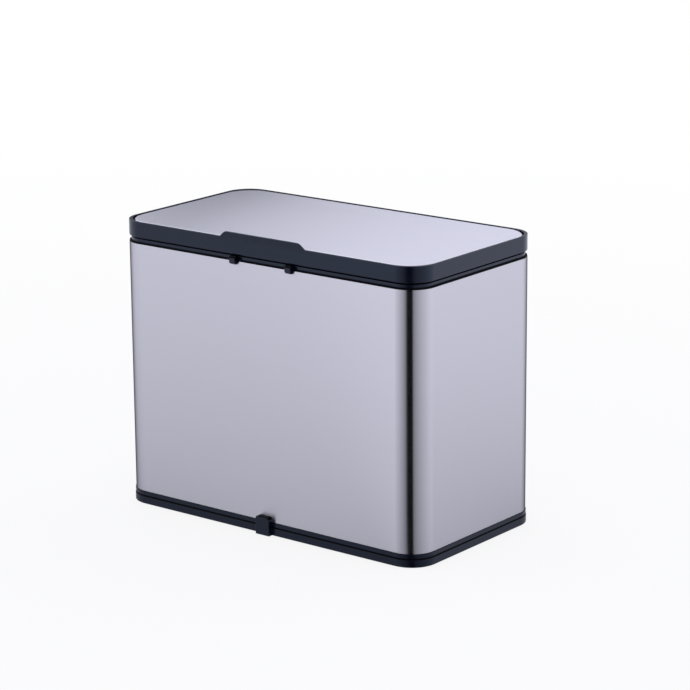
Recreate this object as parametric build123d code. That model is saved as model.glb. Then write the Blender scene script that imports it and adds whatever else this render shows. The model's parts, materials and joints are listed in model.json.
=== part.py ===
from build123d import *
import os

# A slim rectangular kitchen bin: a brushed steel sleeve on a plastic base, a lift-off head with a
# hinged lid, and a loose inner bucket with a wire bail.
# Origin on the ground under the middle of the bin, front at -Y, up at +Z, all sizes in millimetres.

# Body outline, seen from above
body_width = 340.0
body_depth = 180.0
corner_radius = 24.0
stand_off = 5.5

# Steel sheet
sheet = 0.8
seam_slit = 0.3
seam_strip_width = 16.0
seam_strip_gap = 3.0

# Heights, stacked from the ground up
ground_gap = 0.5
band_height = 7.4
groove_height = 0.9
lip_height = 3.9
shell_height = 235.2
frame_foot_height = 1.1
frame_band_height = 3.2
lid_gap = 1.3
rim_height = 14.9

# Base ring
band_proud = 0.8
lip_proud = 0.5
ring_wall = 2.2
upstand_height = 13.0
ledge_width = 11.0
ledge_thickness = 2.0
ledge_height = 12.0
band_round = 0.6
lip_round = 0.35

# Base floor
floor_thickness = 2.5
floor_pad_height = 1.0
floor_pad_length = 60.0
floor_pad_width = 20.0
floor_pad_end_inset = 80.0
floor_pad_side_inset = 50.0
floor_rib = 2.0
floor_rib_depth = 6.0
floor_rib_pitch = 55.0
floor_ribs = 5

# Rubber feet
foot_radius = 10.0
foot_thickness = 3.0
foot_round = 0.8
foot_peg_radius = 3.0
foot_peg_length = 5.0
foot_inset = 17.0
post_wall = 1.5

# Clip in the middle of the front of the base
clip_width = 15.3
clip_height = 17.5
clip_corner = 3.0
clip_round = 0.7
clip_peg_width = 8.0
clip_peg_height = 3.0
clip_peg_length = 3.0
clip_peg_level = 4.0

# Screws
screw_radius = 1.5
screw_head_radius = 2.8
screw_head_height = 1.8
screw_drive_span = 2.8
screw_drive_slot = 0.7
screw_drive_depth = 0.9
screw_bite = 6.0
boss_wall = 2.4
base_screw_end_inset = 60.0
base_screw_side_inset = 9.0
lid_screw_end_inset = 45.0
lid_screw_side_inset = 38.0

# Top frame of the lift-off head
frame_foot_inset = 0.25
frame_band_recess = 1.9
frame_skirt_wall = 2.2
frame_skirt_depth = 20.0
frame_deck = 2.0
throat_inset = 20.0
throat_corner = 16.0
throat_lip_wall = 2.0
throat_lip_depth = 6.2
frame_band_round = 0.5

# Hooks of the frame over the front edge of the steel
hook_pitch = 63.2
hook_width = 6.8
hook_proud = 3.5
hook_drop = 2.7
hook_rise = 5.1
hook_round = 2.6
hook_side_round = 0.6

# Lid hinges behind the rear edge
hinge_pitch = 150.0
pin_radius = 1.0
pin_head_radius = 1.8
pin_head_height = 1.0
knuckle_radius = 2.8
lid_knuckle_length = 14.0
frame_knuckle_length = 8.0
hinge_rise = 2.5
hinge_web_height = 5.0

# Lid
rim_wall = 2.4
rim_round = 1.2
rim_lip_wall = 1.6
rim_lip_round = 0.5
lid_deck = 2.0
panel_corner = 26.5
panel_gap = 1.2
panel_drop = 0.3
panel_height = 3.2
panel_round = 2.0
pad_width = 18.0
pad_end_inset = 45.0
pad_pitch = 55.0
pads = 3

# Finger tab on the front edge of the lid
tab_top_width = 84.0
tab_shoulder_run = 6.3
tab_height = 5.3
tab_lean = 1.0
tab_thickness = 1.9
tab_root = 4.0
tab_run_out = 8.0
tab_shoulder_round = 7.0
tab_base_round = 2.0
tab_edge_round = 0.6

# Liner under the lid
liner_inset = 3.2
liner_wall = 2.0
liner_round = 1.0
liner_recess = 0.8
liner_recess_inset = 32.0
liner_rib_wall = 2.0
liner_rib_depth = 4.0
liner_rib_gap = 1.5

# Rubber bumpers between frame and lid
bumper_radius = 3.5
bumper_stem_radius = 1.6
bumper_stem_length = 3.2
bumper_round = 0.6
bumper_end_inset = 50.0
bumper_side_inset = 10.0

# Inner bucket
bucket_wall = 1.6
bucket_floor = 2.0
bucket_height = 222.0
bucket_top_inset = 16.0
bucket_bottom_inset = 22.0
bucket_corner = 20.0
bucket_bottom_corner = 16.0
flange_inset = 4.2
flange_thickness = 2.0
flange_turn_down = 8.0
flange_wall = 1.8
bucket_floor_round = 3.0

# Bail of the bucket
wire_radius = 2.0
bail_inset = 7.0
bail_end_inset = 15.5
bail_end_bend = 3.5
bail_corner_bend = 17.0
ear_thickness = 3.0
ear_radius = 4.5
ear_end_gap = 1.3
grip_radius = 3.0
grip_length = 92.0
grip_ribs = 7
grip_rib_depth = 0.5

# Clearances
fit_clearance = 0.05
seat_clearance = 0.3
hole_clearance = 0.15
lift_clearance = 0.4
hinge_side_gap = 0.3

# Levels and faces worked out from the values above
front = -body_depth / 2
rear = body_depth / 2
band_top = ground_gap + band_height
lip_bottom = band_top + groove_height
shell_bottom = lip_bottom + lip_height
shell_top = shell_bottom + shell_height
frame_band_bottom = shell_top + frame_foot_height
frame_top = frame_band_bottom + frame_band_height
frame_deck_bottom = frame_top - frame_deck
rim_bottom = frame_top + lid_gap
rim_top = rim_bottom + rim_height
panel_top = rim_top - panel_drop
lid_deck_top = panel_top - panel_height
lid_deck_bottom = lid_deck_top - lid_deck
upstand_outside = -(sheet + fit_clearance)
ring_inside = upstand_outside - ring_wall
upstand_top = shell_bottom + upstand_height
ledge_bottom = ground_gap + ledge_height
ledge_top = ledge_bottom + ledge_thickness
floor_top = ledge_top + floor_thickness
bucket_seat = floor_top + floor_pad_height
skirt_outside = -(sheet + lift_clearance)
skirt_inside = skirt_outside - frame_skirt_wall
skirt_bottom = shell_top - frame_skirt_depth
flange_top = bucket_seat + bucket_height
wire_level = flange_top + grip_radius + seat_clearance
hinge_back = stand_off - knuckle_radius
hinge_axis_y = rear + hinge_back
hinge_axis_z = shell_top + hinge_rise
liner_bottom = rim_bottom
tab_top = rim_top + tab_height
tab_base_width = tab_top_width + 2 * tab_shoulder_run
pad_length = body_width - 2 * pad_end_inset


def block(offset, low, high, corner=None):
    """Block that follows the body outline, offset outside the face of the steel."""
    outline = RectangleRounded(
        body_width + 2 * offset,
        body_depth + 2 * offset,
        corner or corner_radius + offset,
    )
    return Pos(0, 0, low) * extrude(outline, amount=high - low)


def round_ends(solid, top=0.0, bottom=0.0):
    """Round the edges of a block's top and bottom faces."""
    if top:
        solid = fillet(solid.faces().sort_by(Axis.Z)[-1].edges(), top)
    if bottom:
        solid = fillet(solid.faces().sort_by(Axis.Z)[0].edges(), bottom)
    return solid


def wall(outside, inside, low, high, corner=None, inner_corner=None):
    """Closed wall between two offsets of the body outline."""
    return block(outside, low, high, corner) - block(inside, low, high, inner_corner)


def cylinder_up(x, y, low, high, radius):
    return Pos(x, y, low) * Cylinder(radius, high - low, align=(Align.CENTER, Align.CENTER, Align.MIN))


def cylinder_across(x_low, x_high, y, z, radius):
    """Cylinder along X."""
    middle = (x_low + x_high) / 2
    return Pos(middle, y, z) * Rot(0, 90, 0) * Cylinder(radius, x_high - x_low)


def box_between(x_low, x_high, y_low, y_high, z_low, z_high):
    centre = (x_low + x_high) / 2, (y_low + y_high) / 2, (z_low + z_high) / 2
    return Pos(*centre) * Box(x_high - x_low, y_high - y_low, z_high - z_low)


def corner_places(end_inset, side_inset):
    """Four points near the corners, inset from the steel's short and long faces."""
    x = body_width / 2 - end_inset
    y = body_depth / 2 - side_inset
    return {
        "front_left": (-x, -y),
        "front_right": (x, -y),
        "rear_left": (-x, y),
        "rear_right": (x, y),
    }


def screw_places(end_inset, side_inset):
    """Three screws along the front and three along the rear."""
    x = body_width / 2 - end_inset
    y = body_depth / 2 - side_inset
    return [(across, along) for along in (-y, y) for across in (-x, 0, x)]


def screw(x, y, head_face, grip):
    """Pan-head screw with a cross recess, driven upwards, its head under head_face."""
    head = cylinder_up(x, y, head_face - screw_head_height, head_face, screw_head_radius)
    head = round_ends(head, bottom=screw_head_height / 2)
    shank = cylinder_up(x, y, head_face, head_face + grip + screw_bite, screw_radius)
    slot = Box(screw_drive_span, screw_drive_slot, 2 * screw_drive_depth)
    cross = Pos(x, y, head_face - screw_head_height) * (slot + Rot(0, 0, 90) * slot)
    return head + shank - cross


def make_outer_shell():
    sleeve = wall(0, -sheet, shell_bottom, shell_top)
    slit = box_between(
        -seam_slit / 2, seam_slit / 2, rear - 2 * sheet, rear + sheet, shell_bottom, shell_top
    )
    return sleeve - slit


def make_seam_strip():
    """Strip welded behind the seam, between the base and the head."""
    half = seam_strip_width / 2
    return box_between(
        -half,
        half,
        rear - 2 * sheet,
        rear - sheet,
        upstand_top + seam_strip_gap,
        skirt_bottom - seam_strip_gap,
    )


def make_base_ring():
    band = round_ends(
        block(band_proud, ground_gap, band_top), top=band_round, bottom=band_round
    )
    groove = block(0, band_top, lip_bottom)
    lip = round_ends(block(lip_proud, lip_bottom, shell_bottom), top=lip_round)
    upstand = block(upstand_outside, shell_bottom, upstand_top)
    ring = band + groove + lip + upstand
    ring -= block(ring_inside, ground_gap, upstand_top)
    ring += wall(ring_inside, ring_inside - ledge_width, ledge_bottom, ledge_top)
    for x, y in corner_places(foot_inset, foot_inset).values():
        ring += cylinder_up(x, y, foot_thickness, ledge_top, foot_radius + post_wall)
        peg_top = foot_thickness + foot_peg_length + seat_clearance
        ring -= cylinder_up(x, y, foot_thickness, peg_top, foot_peg_radius + fit_clearance)
    for x, y in screw_places(base_screw_end_inset, base_screw_side_inset):
        ring -= cylinder_up(x, y, ledge_bottom, ledge_top, screw_radius + hole_clearance)
    return ring - clip_peg(fit_clearance)


def clip_peg(clearance):
    """Peg behind the base clip, or the slot for it, larger by the clearance."""
    half = clip_peg_width / 2 + clearance
    level = ground_gap + clip_peg_level
    return box_between(
        -half,
        half,
        front - band_proud,
        front - band_proud + clip_peg_length + clearance,
        level - clip_peg_height / 2 - clearance,
        level + clip_peg_height / 2 + clearance,
    )


def make_base_clip():
    """Upright clip over the base ring and the foot of the steel."""
    face = Plane.XZ * Pos(0, ground_gap + clip_height / 2) * Rectangle(clip_width, clip_height)
    face = fillet(face.vertices().sort_by(Axis.Z)[-2:], clip_corner)
    clip = Pos(0, front - fit_clearance, 0) * extrude(face, amount=stand_off - fit_clearance)
    clip = fillet(clip.faces().sort_by(Axis.Y)[0].edges(), clip_round)
    clip -= block(band_proud, ground_gap, shell_bottom + fit_clearance)
    return clip + clip_peg(0)


def make_base_floor():
    floor = block(ring_inside - seat_clearance, ledge_top, floor_top)
    boss_radius = screw_radius + boss_wall
    bite_top = ledge_top + screw_bite + boss_wall
    for x, y in screw_places(base_screw_end_inset, base_screw_side_inset):
        floor += cylinder_up(x, y, ledge_top, bite_top, boss_radius)
    for x, y in screw_places(base_screw_end_inset, base_screw_side_inset):
        hole_top = ledge_top + screw_bite + seat_clearance
        floor -= cylinder_up(x, y, ledge_top, hole_top, screw_radius + fit_clearance)
    for x, y in corner_places(floor_pad_end_inset, floor_pad_side_inset).values():
        floor += Pos(x, y, floor_top + floor_pad_height / 2) * Box(
            floor_pad_length, floor_pad_width, floor_pad_height
        )
    rib_level = ledge_top - floor_rib_depth / 2
    rib_inset = ledge_width - ring_inside + seat_clearance
    rib_run_y = body_depth - 2 * rib_inset
    rib_run_x = body_width - 2 * rib_inset
    for step in range(floor_ribs):
        x = (step - (floor_ribs - 1) / 2) * floor_rib_pitch
        floor += Pos(x, 0, rib_level) * Box(floor_rib, rib_run_y, floor_rib_depth)
    for y in (-floor_rib_pitch / 2, floor_rib_pitch / 2):
        floor += Pos(0, y, rib_level) * Box(rib_run_x, floor_rib, floor_rib_depth)
    return floor


def make_base_screws():
    places = screw_places(base_screw_end_inset, base_screw_side_inset)
    return Compound([screw(x, y, ledge_bottom, ledge_thickness) for x, y in places])


def make_foot(x, y):
    pad = round_ends(cylinder_up(x, y, 0, foot_thickness, foot_radius), bottom=foot_round)
    peg = cylinder_up(x, y, foot_thickness, foot_thickness + foot_peg_length, foot_peg_radius)
    return pad + peg


def frame_hook(x):
    """Rounded hook that reaches over the steel's top edge and hangs down outside it."""
    half = hook_width / 2
    hook = box_between(
        x - half,
        x + half,
        front - hook_proud,
        front + frame_band_recess + sheet,
        shell_top - hook_drop,
        shell_top + hook_rise,
    )
    outer_face = hook.faces().sort_by(Axis.Y)[0]
    hook = fillet(outer_face.edges().filter_by(Axis.X), hook_round)
    hook = fillet(hook.faces().sort_by(Axis.Y)[0].edges().filter_by(Axis.Z), hook_side_round)
    mouth = box_between(
        x - half,
        x + half,
        front - seat_clearance,
        front + frame_band_recess + sheet,
        shell_top - hook_drop,
        shell_top + seat_clearance,
    )
    return hook - mouth


def hinge_places():
    return {"left": -hinge_pitch / 2, "right": hinge_pitch / 2}


def frame_knuckles(x):
    """Two knuckles of the frame on arms over the steel's rear edge."""
    knuckles = []
    near = lid_knuckle_length / 2 + hinge_side_gap
    for side in (-1, 1):
        ends = sorted((x + side * near, x + side * (near + frame_knuckle_length)))
        arm = box_between(
            *ends,
            rear - frame_band_recess - sheet,
            hinge_axis_y,
            shell_top + lift_clearance,
            frame_top,
        )
        knuckles.append(arm + cylinder_across(*ends, hinge_axis_y, hinge_axis_z, knuckle_radius))
    return knuckles


def make_top_frame():
    foot = block(-frame_foot_inset, shell_top, frame_band_bottom)
    band = round_ends(
        block(-frame_band_recess, frame_band_bottom, frame_top), top=frame_band_round
    )
    skirt = block(skirt_outside, skirt_bottom, shell_top)
    frame = foot + band + skirt
    frame -= block(skirt_inside, skirt_bottom, frame_deck_bottom)
    lip_outside = -(throat_inset - throat_lip_wall)
    lip_bottom_level = frame_top - throat_lip_depth
    frame += block(
        lip_outside, lip_bottom_level, frame_deck_bottom, throat_corner + throat_lip_wall
    )
    frame -= block(-throat_inset, lip_bottom_level, frame_top, throat_corner)
    for side in (-1, 1):
        frame += frame_hook(side * hook_pitch / 2)
    for x in hinge_places().values():
        for knuckle in frame_knuckles(x):
            frame += knuckle
        half = lid_knuckle_length / 2 + hinge_side_gap + frame_knuckle_length
        frame -= cylinder_across(
            x - half, x + half, hinge_axis_y, hinge_axis_z, pin_radius + fit_clearance
        )
    for x, y in corner_places(bumper_end_inset, bumper_side_inset).values():
        frame -= cylinder_up(
            x, y, frame_deck_bottom, frame_top, bumper_stem_radius + fit_clearance
        )
    return frame


def make_hinge_pin(x):
    """Pin through one hinge, with its head on the outer side."""
    outward = 1 if x > 0 else -1
    half = lid_knuckle_length / 2 + hinge_side_gap + frame_knuckle_length
    shaft = cylinder_across(x - half, x + half, hinge_axis_y, hinge_axis_z, pin_radius)
    ends = sorted((x + outward * half, x + outward * (half + pin_head_height)))
    head = cylinder_across(*ends, hinge_axis_y, hinge_axis_z, pin_head_radius)
    return shaft + head


def make_bumper(x, y):
    head_top = rim_bottom - seat_clearance
    head = round_ends(cylinder_up(x, y, frame_top, head_top, bumper_radius), top=bumper_round)
    stem = cylinder_up(x, y, frame_top - bumper_stem_length, frame_top, bumper_stem_radius)
    return head + stem


def lid_knuckle(x):
    """Knuckle of the lid and the web that carries it down from the rim."""
    half = lid_knuckle_length / 2
    barrel = cylinder_across(x - half, x + half, hinge_axis_y, hinge_axis_z, knuckle_radius)
    web = box_between(
        x - half,
        x + half,
        rear + seat_clearance,
        rear + stand_off,
        hinge_axis_z,
        rim_bottom + hinge_web_height,
    )
    root = box_between(
        x - half,
        x + half,
        rear - rim_wall / 2,
        rear + seat_clearance,
        rim_bottom + rim_round,
        rim_bottom + hinge_web_height,
    )
    web = chamfer(
        web.faces().sort_by(Axis.Z)[-1].edges().sort_by(Axis.Y)[-1],
        stand_off - 2 * seat_clearance,
        hinge_web_height - rim_round,
    )
    return barrel + web + root


def finger_tab():
    """Thin lip that stands up from the rim and leans out over the front."""
    root_level = rim_top - tab_root
    outer_foot = (front, root_level)
    outer_tip = (front - tab_lean, tab_top)
    inner_tip = (front - tab_lean + tab_thickness, tab_top)
    inner_knee = (front + rim_lip_wall, rim_top)
    inner_foot = (front + rim_lip_wall, root_level)
    section = Plane.YZ * make_face(
        TangentArc(outer_foot, outer_tip, tangent=(0, 1))
        + Polyline(outer_tip, inner_tip, inner_knee, inner_foot, outer_foot)
    )
    half_run = tab_base_width / 2 + tab_run_out
    lip = Pos(-half_run, 0, 0) * extrude(section, amount=2 * half_run)
    outline = Plane.XZ * Polygon(
        (-half_run, root_level),
        (-half_run, rim_top),
        (-tab_base_width / 2, rim_top),
        (-tab_top_width / 2, tab_top),
        (tab_top_width / 2, tab_top),
        (tab_base_width / 2, rim_top),
        (half_run, rim_top),
        (half_run, root_level),
        align=None,
    )
    shoulders = outline.vertices().filter_by_position(
        Axis.X, -tab_top_width / 2 - tab_edge_round, tab_top_width / 2 + tab_edge_round
    )
    outline = fillet(shoulders, tab_shoulder_round)
    feet = outline.vertices().filter_by_position(Axis.Z, rim_top, rim_top)
    feet = feet.filter_by_position(Axis.X, -tab_base_width / 2, tab_base_width / 2)
    outline = fillet(feet, tab_base_round)
    reach = tab_lean + rim_wall
    tab = lip & (Pos(0, front, 0) * extrude(outline, amount=reach, both=True))
    return fillet(tab.faces().sort_by(Axis.Z)[-1].edges().filter_by(Axis.X), tab_edge_round)


def make_lid_frame():
    lid = round_ends(block(0, rim_bottom, rim_top), top=rim_lip_round, bottom=rim_round)
    lid -= block(-rim_wall, rim_bottom, lid_deck_bottom)
    for x, y in screw_places(lid_screw_end_inset, lid_screw_side_inset):
        lid += cylinder_up(
            x, y, liner_bottom + liner_recess + liner_wall, lid_deck_top, screw_radius + boss_wall
        )
    lid -= block(-rim_lip_wall, lid_deck_top, rim_top, panel_corner)
    lid += finger_tab()
    for x, y in screw_places(lid_screw_end_inset, lid_screw_side_inset):
        base = liner_bottom + liner_recess + liner_wall
        lid -= cylinder_up(
            x, y, base, base + screw_bite + seat_clearance, screw_radius + fit_clearance
        )
    for x in hinge_places().values():
        lid += lid_knuckle(x)
        half = lid_knuckle_length / 2
        lid -= cylinder_across(
            x - half, x + half, hinge_axis_y, hinge_axis_z, pin_radius + fit_clearance
        )
    return lid


def make_lid_panel():
    """Steel pan with a rolled edge, seated in the rim."""
    outside = -(rim_lip_wall + panel_gap)
    inside = outside - sheet
    pan = round_ends(block(outside, lid_deck_top, panel_top, panel_corner), top=panel_round)
    hollow = block(inside, lid_deck_top - sheet, panel_top - sheet, panel_corner - sheet)
    return pan - round_ends(hollow, top=panel_round - sheet)


def make_panel_pads():
    """Foam strips that hold the steel panel to the lid's deck."""
    low = lid_deck_top
    high = panel_top - sheet
    pads_made = []
    for step in range(pads):
        y = (step - (pads - 1) / 2) * pad_pitch
        pads_made.append(
            box_between(
                -pad_length / 2, pad_length / 2, y - pad_width / 2, y + pad_width / 2, low, high
            )
        )
    return Compound(pads_made)


def make_lid_liner():
    """Smooth cover under the lid, with a rib that drops into the frame's throat."""
    liner = round_ends(
        block(-liner_inset, liner_bottom, lid_deck_bottom), bottom=liner_round
    )
    liner -= block(-liner_inset - liner_wall, liner_bottom + liner_wall, lid_deck_bottom)
    plate_top = liner_bottom + liner_recess + liner_wall
    recess_corner = throat_corner
    liner += block(-liner_recess_inset + liner_wall, liner_bottom + liner_wall, plate_top, recess_corner)
    liner -= block(-liner_recess_inset, liner_bottom, liner_bottom + liner_recess, recess_corner)
    rib_outside = -(throat_inset + liner_rib_gap)
    rib_corner = throat_corner - liner_rib_gap
    liner += wall(
        rib_outside,
        rib_outside - liner_rib_wall,
        liner_bottom - liner_rib_depth,
        liner_bottom + liner_wall / 2,
        rib_corner,
        rib_corner - liner_rib_wall,
    )
    for x, y in screw_places(lid_screw_end_inset, lid_screw_side_inset):
        liner -= cylinder_up(x, y, liner_bottom, plate_top, screw_radius + hole_clearance)
    return liner


def make_lid_screws():
    places = screw_places(lid_screw_end_inset, lid_screw_side_inset)
    face = liner_bottom + liner_recess
    return Compound([screw(x, y, face, liner_wall) for x, y in places])


def bucket_outline(inset, corner, level):
    outline = RectangleRounded(body_width - 2 * inset, body_depth - 2 * inset, corner)
    return Pos(0, 0, level) * outline


def tapered(grow, low_level, high_level):
    """Tapered block of the bucket, shrunk by grow all round."""
    low = bucket_outline(bucket_bottom_inset + grow, bucket_bottom_corner - grow, low_level)
    high = bucket_outline(bucket_top_inset + grow, bucket_corner - grow, high_level)
    return loft([low, high])


def bail_ear(side):
    """Ear on the bucket's flange that holds one end of the bail."""
    outer = side * (body_width / 2 - bail_end_inset + ear_end_gap + ear_thickness)
    inner = side * (body_width / 2 - bail_end_inset + ear_end_gap)
    ends = sorted((outer, inner))
    barrel = cylinder_across(*ends, 0, wire_level, ear_radius)
    stem = box_between(*ends, -ear_radius, ear_radius, flange_top, wire_level)
    hole = cylinder_across(*ends, 0, wire_level, wire_radius + fit_clearance)
    return barrel + stem - hole


def make_inner_bucket():
    body = round_ends(tapered(0, bucket_seat, flange_top), bottom=bucket_floor_round)
    flange_corner = corner_radius - flange_inset
    flange = block(-flange_inset, flange_top - flange_thickness, flange_top, flange_corner)
    turned = wall(
        -flange_inset,
        -flange_inset - flange_wall,
        flange_top - flange_turn_down,
        flange_top,
        flange_corner,
        flange_corner - flange_wall,
    )
    bucket = body + flange + turned
    inside_bottom = bucket_seat + bucket_floor
    bucket -= tapered(bucket_wall, inside_bottom, flange_top)
    for side in (-1, 1):
        bucket += bail_ear(side)
    return bucket


def bail_path():
    x_arm = body_width / 2 - bail_inset
    x_end = body_width / 2 - bail_end_inset
    y_bar = front + bail_inset
    return FilletPolyline(
        (-x_end, 0, wire_level),
        (-x_arm, 0, wire_level),
        (-x_arm, y_bar, wire_level),
        (x_arm, y_bar, wire_level),
        (x_arm, 0, wire_level),
        (x_end, 0, wire_level),
        radius=(bail_end_bend, bail_corner_bend, bail_corner_bend, bail_end_bend),
    )


def make_bail_wire():
    path = bail_path()
    section = Plane(origin=path @ 0, z_dir=path % 0) * Circle(wire_radius)
    return sweep(section, path=path)


def make_handle_grip():
    """Ribbed sleeve on the bail's bar."""
    y_bar = front + bail_inset
    half = grip_length / 2
    sleeve = cylinder_across(-half, half, y_bar, wire_level, grip_radius)
    pitch = grip_length / (grip_ribs + 1)
    neck = grip_radius - grip_rib_depth
    for step in range(grip_ribs):
        x = -half + (step + 1) * pitch
        ends = x - pitch / 4, x + pitch / 4
        sleeve -= cylinder_across(*ends, y_bar, wire_level, grip_radius) - cylinder_across(
            *ends, y_bar, wire_level, neck
        )
    return sleeve - cylinder_across(-half, half, y_bar, wire_level, wire_radius + fit_clearance)


def make_parts():
    parts = {
        "outer_shell": make_outer_shell(),
        "seam_strip": make_seam_strip(),
        "base_ring": make_base_ring(),
        "base_floor": make_base_floor(),
        "base_clip": make_base_clip(),
        "base_screws": make_base_screws(),
        "top_frame": make_top_frame(),
        "lid_frame": make_lid_frame(),
        "lid_panel": make_lid_panel(),
        "panel_pads": make_panel_pads(),
        "lid_liner": make_lid_liner(),
        "lid_screws": make_lid_screws(),
        "inner_bucket": make_inner_bucket(),
        "bail_wire": make_bail_wire(),
        "handle_grip": make_handle_grip(),
    }
    for place, (x, y) in corner_places(foot_inset, foot_inset).items():
        parts["foot_" + place] = make_foot(x, y)
    for place, (x, y) in corner_places(bumper_end_inset, bumper_side_inset).items():
        parts["bumper_" + place] = make_bumper(x, y)
    for place, x in hinge_places().items():
        parts["hinge_pin_" + place] = make_hinge_pin(x)
    return parts


os.makedirs("parts", exist_ok=True)
for node, solid in make_parts().items():
    export_step(solid, f"parts/{node}.step")
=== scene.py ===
import json
import math

import bmesh
import bpy
from mathutils import Matrix, Vector


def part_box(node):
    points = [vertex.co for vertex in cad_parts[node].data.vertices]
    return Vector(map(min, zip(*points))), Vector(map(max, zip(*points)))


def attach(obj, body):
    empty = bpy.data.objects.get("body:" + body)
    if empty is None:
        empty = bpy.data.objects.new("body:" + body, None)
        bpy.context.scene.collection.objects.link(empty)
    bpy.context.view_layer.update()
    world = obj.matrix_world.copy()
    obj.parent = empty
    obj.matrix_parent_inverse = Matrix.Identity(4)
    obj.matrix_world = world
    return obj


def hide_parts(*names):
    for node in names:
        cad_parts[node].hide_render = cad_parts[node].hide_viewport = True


# Slim rectangular kitchen bin: brushed steel sleeve, black plastic base and lid rim, inner bucket.
# Sizes are in metres. The bin stands on z = 0 with its front at -Y.

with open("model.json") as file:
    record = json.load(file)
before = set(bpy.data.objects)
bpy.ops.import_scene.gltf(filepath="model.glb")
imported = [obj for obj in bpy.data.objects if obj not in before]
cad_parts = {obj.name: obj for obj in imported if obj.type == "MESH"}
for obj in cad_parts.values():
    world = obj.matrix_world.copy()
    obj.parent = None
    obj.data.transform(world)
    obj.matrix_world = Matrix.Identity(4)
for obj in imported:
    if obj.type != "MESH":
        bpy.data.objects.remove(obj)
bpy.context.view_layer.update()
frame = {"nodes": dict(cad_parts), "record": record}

MM = 0.001
BODY_OF = {
    node: body
    for body, nodes in frame["record"]["behaviour"]["bodies"].items()
    for node in nodes
}
SLOT_OF = {part["node"]: part["material_slot"] for part in frame["record"]["subparts"]}

# Half size and top of the sleeve, and the radius of its corners
HALF_WIDTH, HALF_DEPTH, SLEEVE_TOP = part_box("outer_shell")[1]
CORNER = 24.0 * MM


# Node helpers


def fill(tree, node, inputs):
    """Set a node's inputs to numbers and colours, or link them to other nodes' outputs."""
    for key, value in inputs.items():
        if isinstance(value, bpy.types.NodeSocket):
            tree.links.new(value, node.inputs[key])
        else:
            node.inputs[key].default_value = value
    return node


def new_material(name):
    material = bpy.data.materials.new(name)
    material.use_nodes = True
    tree = material.node_tree
    return material, tree, tree.nodes["Principled BSDF"]


def coordinates(tree, kind):
    """The outputs X, Y and Z of a kind of texture coordinates."""
    place = tree.nodes.new("ShaderNodeTexCoord")
    parts = tree.nodes.new("ShaderNodeSeparateXYZ")
    return fill(tree, parts, {"Vector": place.outputs[kind]}).outputs


def noise(tree, repeats, detail=2.0, roughness=0.5):
    """Noise on object coordinates. repeats is its scale per metre along X, Y and Z."""
    place = tree.nodes.new("ShaderNodeTexCoord")
    stretch = tree.nodes.new("ShaderNodeMapping")
    fill(tree, stretch, {"Vector": place.outputs["Object"], "Scale": repeats})
    texture = tree.nodes.new("ShaderNodeTexNoise")
    fill(tree, texture, {
        "Vector": stretch.outputs["Vector"],
        "Scale": 1.0,
        "Detail": detail,
        "Roughness": roughness,
    })
    return texture.outputs["Fac"]


def spread(tree, value, low, high, from_low=0.3, from_high=0.7):
    """Map a value onto the range from low to high. Noise seldom leaves the default input range."""
    ranged = tree.nodes.new("ShaderNodeMapRange")
    fill(tree, ranged, {
        "Value": value,
        "From Min": from_low,
        "From Max": from_high,
        "To Min": low,
        "To Max": high,
    })
    return ranged.outputs["Result"]


def between(tree, factor, first, second):
    """Mix two colours by a pattern."""
    mix = tree.nodes.new("ShaderNodeMix")
    mix.data_type = "RGBA"
    fill(tree, mix, {"Factor": factor, "A": (*first, 1.0), "B": (*second, 1.0)})
    return mix.outputs["Result"]


def bump(tree, shader, height, strength, depth):
    node = tree.nodes.new("ShaderNodeBump")
    fill(tree, node, {"Height": height, "Strength": strength, "Distance": depth})
    fill(tree, shader, {"Normal": node.outputs["Normal"]})


def maths(tree, operation, *values):
    """Math node on numbers or other nodes' outputs."""
    node = tree.nodes.new("ShaderNodeMath")
    node.operation = operation
    return fill(tree, node, dict(enumerate(values))).outputs["Value"]


def choose(tree, factor, first, second):
    """Mix two shaders: the first at 0, the second at 1."""
    mix = tree.nodes.new("ShaderNodeMixShader")
    return fill(tree, mix, {0: factor, 1: first, 2: second}).outputs["Shader"]


def toned(colour, factor, lift=0.0):
    return tuple(channel * factor + lift for channel in colour)


# Materials

# Repeats per metre along and across the brushing, for its fine grain and for broader streaks
GRAIN_ALONG, GRAIN_ACROSS = 9.0, 2600.0
STREAK_ALONG, STREAK_ACROSS = 4.0, 700.0
STREAK_SHARE = 0.35
QUARTER_TURN = 0.25

HANDLING_MARKS = (22.0, 22.0, 34.0)
DRAWING_LINES_ACROSS = 900.0


def brushed_steel(name, grain, streaks, colour, deep_colour, roughness, across_grain, rim_tint=1.0):
    """Satin steel with a fine straight grain. grain and streaks are repeats per metre.

    across_grain is a direction square to the grain that stays true as the piece moves, or None
    where the grain runs along X. A low rim_tint darkens the steel where it is seen edge on.
    """
    material, tree, shader = new_material(name)
    fine = noise(tree, grain, detail=3.0, roughness=0.6)
    broad = noise(tree, streaks)
    blend = tree.nodes.new("ShaderNodeMix")
    fill(tree, blend, {"Factor": STREAK_SHARE, "A": fine, "B": broad})
    tone = spread(tree, blend.outputs["Result"], 0.0, 1.0)
    direction = tree.nodes.new("ShaderNodeCombineXYZ")
    fill(tree, direction, dict(zip("XYZ", across_grain or (1.0, 0.0, 0.0))))
    fill(tree, shader, {
        "Base Color": between(tree, tone, deep_colour, colour),
        "Roughness": spread(tree, fine, roughness - 0.01, roughness + 0.01),
        "Metallic": 1.0,
        "Anisotropic": 1.0,
        "Anisotropic Rotation": QUARTER_TURN if across_grain is None else 0.0,
        "Specular Tint": (rim_tint, rim_tint, rim_tint, 1.0),
        "Tangent": direction.outputs["Vector"],
    })
    bump(tree, shader, fine, strength=0.008, depth=0.02 * MM)
    return material


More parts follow.
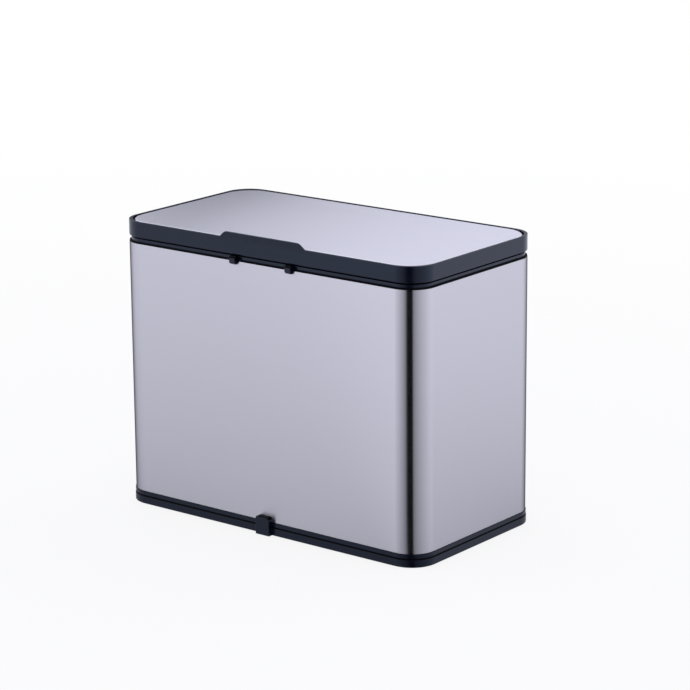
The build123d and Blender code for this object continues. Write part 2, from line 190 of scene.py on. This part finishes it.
def plastic(
    name, colour, worn_colour, roughness, grain, relief, specular=0.5, tint=(1.0, 1.0, 1.0)
):
    """Moulded plastic with a fine spark-eroded texture and faint handling marks."""
    material, tree, shader = new_material(name)
    texture = noise(tree, (grain, grain, grain), roughness=0.6)
    marks = noise(tree, HANDLING_MARKS, detail=4.0, roughness=0.65)
    wear = spread(tree, marks, 0.0, 1.0, from_low=0.42, from_high=0.72)
    fill(tree, shader, {
        "Base Color": between(tree, wear, colour, worn_colour),
        "Roughness": spread(tree, marks, roughness - 0.03, roughness + 0.04),
        "Specular IOR Level": specular,
        "Specular Tint": (*tint, 1.0),
    })
    bump(tree, shader, texture, strength=relief, depth=0.04 * MM)
    return material


def rubber(name, colour):
    """Dull rubber with a coarse skin and paler dust."""
    material, tree, shader = new_material(name)
    skin = noise(tree, (1500.0, 1500.0, 1500.0), detail=3.0)
    dust = noise(tree, (90.0, 90.0, 90.0), detail=4.0)
    dusty = toned(colour, 1.8, lift=0.01)
    fill(tree, shader, {
        "Base Color": between(tree, spread(tree, dust, 0.0, 1.0), colour, dusty),
        "Roughness": spread(tree, dust, 0.72, 0.88),
    })
    bump(tree, shader, skin, strength=0.25, depth=0.1 * MM)
    return material


def drawn_metal(name, colour, roughness, lines):
    """Wire, pins and screws: bright metal with drawing lines and slight tarnish."""
    material, tree, shader = new_material(name)
    drawing = noise(tree, lines)
    tarnish = noise(tree, (160.0, 160.0, 160.0), detail=4.0)
    fill(tree, shader, {
        "Base Color": between(tree, spread(tree, tarnish, 0.0, 1.0), toned(colour, 0.72), colour),
        "Roughness": spread(tree, drawing, roughness - 0.05, roughness + 0.08),
        "Metallic": 1.0,
    })
    bump(tree, shader, drawing, strength=0.06, depth=0.05 * MM)
    return material


def foam(name, colour):
    """Closed foam with small cells."""
    material, tree, shader = new_material(name)
    cells = noise(tree, (900.0, 900.0, 900.0), detail=3.0, roughness=0.7)
    fill(tree, shader, {
        "Base Color": between(tree, spread(tree, cells, 0.0, 1.0), toned(colour, 0.6), colour),
        "Roughness": 0.9,
    })
    bump(tree, shader, cells, strength=0.5, depth=0.2 * MM)
    return material


MATERIALS = {
    "brushed_steel": brushed_steel(
        "sleeve_steel",
        grain=(GRAIN_ALONG, GRAIN_ALONG, GRAIN_ACROSS),
        streaks=(STREAK_ALONG, STREAK_ALONG, STREAK_ACROSS),
        colour=(0.745, 0.745, 0.785),
        deep_colour=(0.727, 0.727, 0.767),
        roughness=0.245,
        across_grain=(0.0, 0.0, 1.0),
        rim_tint=0.10,
    ),
    "brushed_steel_top": brushed_steel(
        "lid_steel",
        grain=(GRAIN_ALONG, GRAIN_ACROSS, GRAIN_ALONG),
        streaks=(STREAK_ALONG, STREAK_ACROSS, STREAK_ALONG),
        colour=(0.745, 0.748, 0.800),
        deep_colour=(0.728, 0.731, 0.783),
        roughness=0.30,
        across_grain=None,
    ),
    "plain_steel": drawn_metal(
        "strip_steel",
        colour=(0.52, 0.52, 0.54),
        roughness=0.42,
        lines=(30.0, 30.0, 1200.0),
    ),
    "screw_steel": drawn_metal(
        "zinc_plate",
        colour=(0.60, 0.60, 0.62),
        roughness=0.30,
        lines=(DRAWING_LINES_ACROSS, DRAWING_LINES_ACROSS, DRAWING_LINES_ACROSS),
    ),
    "wire_steel": drawn_metal(
        "bright_wire",
        colour=(0.66, 0.66, 0.68),
        roughness=0.22,
        lines=(60.0, DRAWING_LINES_ACROSS, DRAWING_LINES_ACROSS),
    ),
    "black_plastic": plastic(
        "black_moulding",
        colour=(0.0018, 0.0021, 0.0070),
        worn_colour=(0.0028, 0.0033, 0.0090),
        roughness=0.23,
        grain=1900.0,
        relief=0.05,
        specular=0.66,
        tint=(0.60, 0.76, 1.0),
    ),
    "dark_plastic": plastic(
        "dark_moulding",
        colour=(0.030, 0.031, 0.034),
        worn_colour=(0.042, 0.043, 0.047),
        roughness=0.55,
        grain=1500.0,
        relief=0.16,
    ),
    "bucket_plastic": plastic(
        "bucket_moulding",
        colour=(0.062, 0.064, 0.069),
        worn_colour=(0.072, 0.074, 0.079),
        roughness=0.50,
        grain=1300.0,
        relief=0.14,
    ),
    "grip_plastic": plastic(
        "grip_moulding",
        colour=(0.018, 0.019, 0.022),
        worn_colour=(0.028, 0.029, 0.032),
        roughness=0.55,
        grain=1700.0,
        relief=0.18,
    ),
    "rubber": rubber("foot_rubber", (0.022, 0.022, 0.023)),
    "foam_tape": foam("foam_tape", (0.16, 0.16, 0.17)),
}
# Painted shade: a nearly black, dull moulding with little gloss, put on grooves, ledges and tops in
# place of their shadow
PAINTED_SHADE_MOULDING = plastic(
    "painted_shade_moulding",
    colour=(0.0010, 0.0012, 0.0022),
    worn_colour=(0.0016, 0.0018, 0.0030),
    roughness=0.60,
    grain=1500.0,
    relief=0.1,
    specular=0.08,
)


# Pieces

SAME_POINT = 0.002 * MM
FLAT_WITHIN = math.radians(0.05)
SHARP_EDGE = math.radians(28.0)


def place_in_scene(name, data):
    thing = bpy.data.objects.new(name, data)
    bpy.context.scene.collection.objects.link(thing)
    return thing


def finish_piece(piece, node):
    """Give a piece its material and its body, and hide the node that it stands for."""
    slot = SLOT_OF[node]
    piece.data.materials.clear()
    piece.data.materials.append(MATERIALS[slot])
    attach(piece, BODY_OF[node])
    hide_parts(node)


def smooth_copy(node):
    """Merged, smoothly shaded copy of a node, with its edges kept crisp."""
    mesh = frame["nodes"][node].data.copy()
    mesh.name = node + "_finished"
    work = bmesh.new()
    work.from_mesh(mesh)
    bmesh.ops.remove_doubles(work, verts=work.verts, dist=SAME_POINT)
    bmesh.ops.dissolve_limit(
        work,
        angle_limit=FLAT_WITHIN,
        use_dissolve_boundaries=False,
        verts=work.verts,
        edges=work.edges,
        delimit={"NORMAL"},
    )
    for face in work.faces:
        face.smooth = True
    for edge in work.edges:
        edge.smooth = len(edge.link_faces) == 2 and edge.calc_face_angle(0.0) < SHARP_EDGE
    work.to_mesh(mesh)
    work.free()
    piece = place_in_scene(node + "_finished", mesh)
    weighted = piece.modifiers.new("even shading", "WEIGHTED_NORMAL")
    weighted.keep_sharp = True
    finish_piece(piece, node)
    return piece


pieces = {node: smooth_copy(node) for node in frame["nodes"]}


# Painted shade: grooves, ledges and tops get a nearly black, dull moulding in place of their shadow

FACES_UP = 0.2
JUST_PAST = 0.05 * MM
# Base ring, from its main band and its lip
BAND_TOP = 7.9 * MM
LIP_BOTTOM = 8.8 * MM
GROOVE_START = BAND_TOP - 0.6 * MM
LEDGE_START = LIP_BOTTOM + 1.0 * MM
# Top frame, from its foot just above the steel and its hooks in front of it
FOOT_TOP = SLEEVE_TOP + 1.1 * MM
HOOK_START = FOOT_TOP + 0.1 * MM
HOOK_FRONT = -HALF_DEPTH - 0.3 * MM


def in_base_shade(centre, normal):
    """Painted shade on the groove of the base ring, and on the top of its lip."""
    on_ledge = normal.z > FACES_UP and centre.z > LEDGE_START
    return on_ledge or GROOVE_START < centre.z < LIP_BOTTOM + JUST_PAST


def in_frame_shade(centre, normal):
    """Painted shade on the tops of the hooks, and elsewhere on the frame's foot."""
    if centre.y < HOOK_FRONT:
        return normal.z > FACES_UP and centre.z > HOOK_START
    return SLEEVE_TOP - JUST_PAST < centre.z < FOOT_TOP + JUST_PAST


def in_clip_shade(centre, normal):
    """Painted shade on the top of the clip."""
    return normal.z > FACES_UP


def shade_faces(piece, in_shade):
    """Painted shade: dull black on the faces that in_shade picks by their centre and normal."""
    piece.data.materials.append(PAINTED_SHADE_MOULDING)
    for face in piece.data.polygons:
        if in_shade(face.center, face.normal):
            face.material_index = 1


shade_faces(pieces["base_ring"], in_base_shade)
shade_faces(pieces["top_frame"], in_frame_shade)
shade_faces(pieces["base_clip"], in_clip_shade)


# Studio

# Camera, from the photograph's edges: a long lens seen from the front right, a little above
CAMERA_AZIMUTH = math.radians(38.24)
CAMERA_ELEVATION = math.radians(14.85)
CAMERA_ROLL = math.radians(-0.46)
CAMERA_DISTANCE = 2.522
CAMERA_LENS = 144.35
CAMERA_SENSOR = 36.0
CAMERA_REACH = 60.0
CAMERA_AIM_RIGHT = 16.8 * MM
CAMERA_AIM_UP = 16.1 * MM
MIDDLE_OF_BIN = Vector((0.0, 0.0, 140.0 * MM))

# Floor. The camera sees it nearly white near the bin, with the bin's shadow, and white far off
FLOOR_SIZE = 24.0
FLOOR_COLOUR = (0.93, 0.93, 0.935, 1.0)
FLOOR_ROUGHNESS = 0.85
FLOOR_WHITENESS = 0.85
FLOOR_WHITENS_FROM, FLOOR_WHITENS_TO = 0.3, 1.6

# Levels of floor and sky in mirror rays. Both swing from front left to rear right
REAR_RIGHT = math.radians(160.0)
FLOOR_FRONT_LEFT = 0.865
FLOOR_REAR_RIGHT = 1.06
SKY_FRONT_LEFT = 2.0
SKY_REAR_RIGHT = 0.75
# Painted shadow of the bin in mirror rays: the floor is dimmed at the bin's foot, and its light comes
# back within 1 m by a power of distance
FLOOR_SHADOW_AT_BIN = 0.50
FLOOR_FADE = 0.6
# The sky's swing is capped, so that the lid doesn't mirror white, and its top is lifted a little.
# The lift goes by the upward part of the direction
SKY_CAP = 1.2
SKY_TOP = 1.20
SKY_TOP_FROM, SKY_TOP_TO = 0.25, 0.75

# Even light on matt surfaces
SKY_EVEN = 0.90

# Brightness round the compass in mirror rays, in degrees from the front towards the right. On the
# floor it turns about the bin's near corner. In the photograph's view the front mirrors -42 to -36
# and the right side 141 to 146, and the dark sector makes the stripe down the near corner
SURROUND = (
    (-180.0, 1.0), (-160.0, 1.09), (-150.0, 1.10), (-141.0, 1.01), (-134.0, 0.90),
    (-110.0, 0.92), (-80.0, 0.92), (-60.0, 0.90), (-50.0, 0.88), (-44.0, 0.92),
    (-41.0, 1.01), (-37.5, 1.15), (-36.0, 1.12), (-34.0, 0.94), (-31.0, 0.88),
    (-27.0, 0.85), (-15.0, 0.71), (-3.0, 0.545), (9.0, 0.34), (14.5, 0.17),
    (17.0, 0.002), (41.0, 0.002),
    (43.5, 0.28), (50.0, 0.39), (56.0, 0.46), (68.0, 0.56), (81.0, 0.65),
    (95.0, 0.74), (109.0, 0.86), (125.0, 0.97), (141.0, 1.0), (180.0, 1.0),
)
SURROUND_TINT = (0.885, 0.885, 1.0, 1.0)
WHITE = (1.0, 1.0, 1.0, 1.0)
NEAR_CORNER_X = HALF_WIDTH - 0.5 * CORNER
NEAR_CORNER_Y = -HALF_DEPTH + 0.5 * CORNER

# Grey card behind the bin's left end, which the far left of the lid mirrors
FLAG_X = -0.36
FLAG_NEAR_Y, FLAG_FAR_Y = 0.05, 1.30
FLAG_LOW, FLAG_HIGH = 0.27, 0.53
FLAG_LEVEL = 0.31

SOFTBOX_DISTANCE = 1.9


def surround_glow(tree, x, y, front_left, rear_right):
    """Brightness towards (x, y), in two factors: the compass ramp, and the swing of the levels."""
    azimuth = maths(tree, "ARCTAN2", x, maths(tree, "MULTIPLY", y, -1.0))
    ramp = tree.nodes.new("ShaderNodeValToRGB")
    ramp.color_ramp.interpolation = "LINEAR"
    stops = ramp.color_ramp.elements
    while len(stops) < len(SURROUND):
        stops.new(0.5)
    for stop, (degrees, level) in zip(stops, SURROUND):
        stop.position = degrees / 360.0 + 0.5
        stop.color = (level, level, level, 1.0)
    fill(tree, ramp, {"Fac": maths(tree, "MULTIPLY_ADD", azimuth, 0.5 / math.pi, 0.5)})
    swing = maths(tree, "COSINE", maths(tree, "SUBTRACT", azimuth, REAR_RIGHT))
    half_swing, middle = 0.5 * (rear_right - front_left), 0.5 * (rear_right + front_left)
    return ramp.outputs["Color"], maths(tree, "MULTIPLY_ADD", swing, half_swing, middle)


def glow(tree, strength, tint=SURROUND_TINT):
    node = tree.nodes.new("ShaderNodeEmission")
    return fill(tree, node, {"Color": tint, "Strength": strength}).outputs["Emission"]


def sky(tree, strength, tint=SURROUND_TINT):
    node = tree.nodes.new("ShaderNodeBackground")
    return fill(tree, node, {"Color": tint, "Strength": strength}).outputs["Background"]


def by_ray(tree, output, to_matt, to_camera, to_mirror):
    """Show one shader to matt surfaces, one to the camera and one to mirror rays."""
    rays = tree.nodes.new("ShaderNodeLightPath").outputs
    unmirrored = choose(tree, rays["Is Camera Ray"], to_matt, to_camera)
    fill(tree, output, {"Surface": choose(tree, rays["Is Glossy Ray"], unmirrored, to_mirror)})


def make_floor():
    """Pale sweep: near white to the camera, with the bin's soft shadow, and banded in mirror rays,
    with a painted shadow at the bin's foot.
    """
    bpy.ops.mesh.primitive_plane_add(size=FLOOR_SIZE)
    floor = bpy.context.object
    floor.name = "studio_floor"
    material, tree, shader = new_material("pale_floor")
    fill(tree, shader, {
        "Base Color": FLOOR_COLOUR,
        "Roughness": FLOOR_ROUGHNESS,
        "Specular IOR Level": 0.0,
    })

    place = coordinates(tree, "Object")
    squares = []
    for axis, half in (("X", HALF_WIDTH), ("Y", HALF_DEPTH)):
        past = maths(tree, "SUBTRACT", maths(tree, "ABSOLUTE", place[axis]), half)
        past = maths(tree, "MAXIMUM", past, 0.0)
        squares.append(maths(tree, "MULTIPLY", past, past))
    away = maths(tree, "SQRT", maths(tree, "ADD", *squares))

    compass, side = surround_glow(
        tree,
        maths(tree, "SUBTRACT", place["X"], NEAR_CORNER_X),
        maths(tree, "SUBTRACT", place["Y"], NEAR_CORNER_Y),
        FLOOR_FRONT_LEFT,
        FLOOR_REAR_RIGHT,
    )
    # Painted shadow: the floor's mirror glow is darker near the bin's foot
    fade = spread(tree, maths(tree, "POWER", away, FLOOR_FADE), FLOOR_SHADOW_AT_BIN, 1.0, 0.0, 1.0)
    level = maths(tree, "MULTIPLY", compass, maths(tree, "MULTIPLY", side, fade))
    whiteness = spread(
        tree, away, FLOOR_WHITENESS, 1.0, from_low=FLOOR_WHITENS_FROM, from_high=FLOOR_WHITENS_TO
    )
    by_ray(
        tree,
        tree.nodes["Material Output"],
        to_matt=shader.outputs["BSDF"],
        to_camera=choose(tree, whiteness, shader.outputs["BSDF"], glow(tree, 1.0, WHITE)),
        to_mirror=glow(tree, level),
    )
    floor.data.materials.append(material)


def make_world():
    """White to the camera, even light for matt surfaces, and the compass in mirror rays."""
    world = bpy.data.worlds.new("studio")
    bpy.context.scene.world = world
    world.use_nodes = True
    tree = world.node_tree
    tree.nodes.clear()
    place = coordinates(tree, "Generated")
    compass, side = surround_glow(tree, place["X"], place["Y"], SKY_FRONT_LEFT, SKY_REAR_RIGHT)
    around = maths(tree, "MULTIPLY", compass, maths(tree, "MINIMUM", side, SKY_CAP))
    upward = spread(tree, place["Z"], 1.0, SKY_TOP, from_low=SKY_TOP_FROM, from_high=SKY_TOP_TO)
    by_ray(
        tree,
        tree.nodes.new("ShaderNodeOutputWorld"),
        to_matt=sky(tree, SKY_EVEN),
        to_camera=sky(tree, 1.0, WHITE),
        to_mirror=sky(tree, maths(tree, "MULTIPLY", around, upward)),
    )


def mirror_card(name, x, near_y, far_y, low, high, brightness):
    """Upright card, square to X, that only mirror rays see."""
    mesh = bpy.data.meshes.new(name)
    work = bmesh.new()
    corners = ((x, near_y, low), (x, far_y, low), (x, far_y, high), (x, near_y, high))
    work.faces.new([work.verts.new(corner) for corner in corners])
    work.to_mesh(mesh)
    work.free()
    card = place_in_scene(name, mesh)
    material, tree, shader = new_material(name)
    tree.nodes.remove(shader)
    fill(tree, tree.nodes["Material Output"], {"Surface": glow(tree, brightness)})
    mesh.materials.append(material)
    card.visible_camera = False
    card.visible_diffuse = False
    card.visible_shadow = False
    card.visible_transmission = False


def towards(azimuth, elevation):
    """Direction away from the bin, in radians. Azimuth is 0 in front and grows to the right."""
    return Vector((
        math.sin(azimuth) * math.cos(elevation),
        -math.cos(azimuth) * math.cos(elevation),
        math.sin(elevation),
    ))


def softbox(name, azimuth, elevation, width, height, power):
    """Area lamp that faces the middle of the bin, placed by its angles in degrees."""
    back = towards(math.radians(azimuth), math.radians(elevation))
    data = bpy.data.lights.new(name, "AREA")
    data.shape = "RECTANGLE"
    data.size = width
    data.size_y = height
    data.energy = power
    lamp = place_in_scene(name, data)
    lamp.location = MIDDLE_OF_BIN + back * SOFTBOX_DISTANCE
    lamp.rotation_euler = (-back).to_track_quat("-Z", "Y").to_euler()


def make_camera():
    back = towards(CAMERA_AZIMUTH, CAMERA_ELEVATION)
    right = Vector((math.cos(CAMERA_AZIMUTH), math.sin(CAMERA_AZIMUTH), 0.0))
    up = back.cross(right)
    aim = MIDDLE_OF_BIN + right * CAMERA_AIM_RIGHT + up * CAMERA_AIM_UP
    rolled_right = right * math.cos(CAMERA_ROLL) + up * math.sin(CAMERA_ROLL)
    rolled_up = up * math.cos(CAMERA_ROLL) - right * math.sin(CAMERA_ROLL)
    turn = Matrix((rolled_right, rolled_up, back)).transposed()
    data = bpy.data.cameras.new("camera")
    data.sensor_width = CAMERA_SENSOR
    data.lens = CAMERA_LENS
    data.clip_end = CAMERA_REACH
    camera = place_in_scene("camera", data)
    camera.matrix_world = Matrix.Translation(aim + back * CAMERA_DISTANCE) @ turn.to_4x4()
    bpy.context.scene.camera = camera


make_floor()
make_world()
mirror_card("left_flag", FLAG_X, FLAG_NEAR_Y, FLAG_FAR_Y, FLAG_LOW, FLAG_HIGH, FLAG_LEVEL)
softbox("left_softbox", azimuth=-70.0, elevation=50.0, width=1.2, height=0.9, power=1.0)
softbox("rear_right_softbox", azimuth=160.0, elevation=42.0, width=1.1, height=0.8, power=2.0)
make_camera()
bpy.context.scene.view_settings.view_transform = "Standard"
